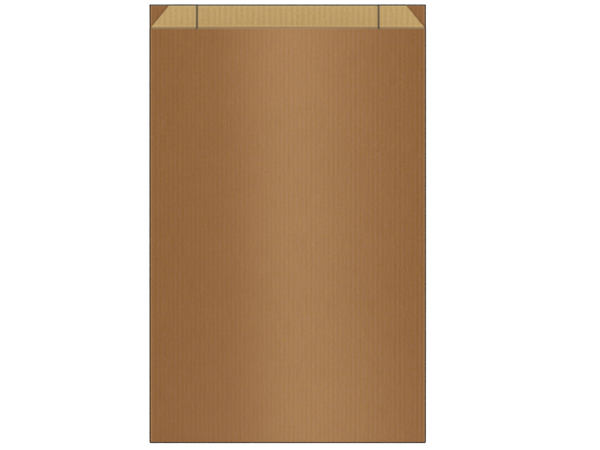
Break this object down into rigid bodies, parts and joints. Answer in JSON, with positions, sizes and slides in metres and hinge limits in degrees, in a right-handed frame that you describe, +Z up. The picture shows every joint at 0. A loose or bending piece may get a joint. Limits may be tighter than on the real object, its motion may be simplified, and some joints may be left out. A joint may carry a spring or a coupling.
{
  "type": "flat paper bag",
  "caption": "Flat brown kraft paper bag with side gussets, a low-cut front panel at its open mouth, a glued back seam and a bottom edge folded to the back.",
  "frame": {"origin": "middle of the bag's footprint, on the surface that the bag lies on", "axes": "+X across the bag, +Y along it from the glued bottom edge to the open mouth, +Z up from the back panel to the front panel"},
  "size_m": [0.12, 0.1904, 0.0069],
  "materials": {
    "kraft_paper": "matte"
  },
  "bodies": {
    "root": {"paper_bag": "kraft_paper"}
  },
  "joints": []
}
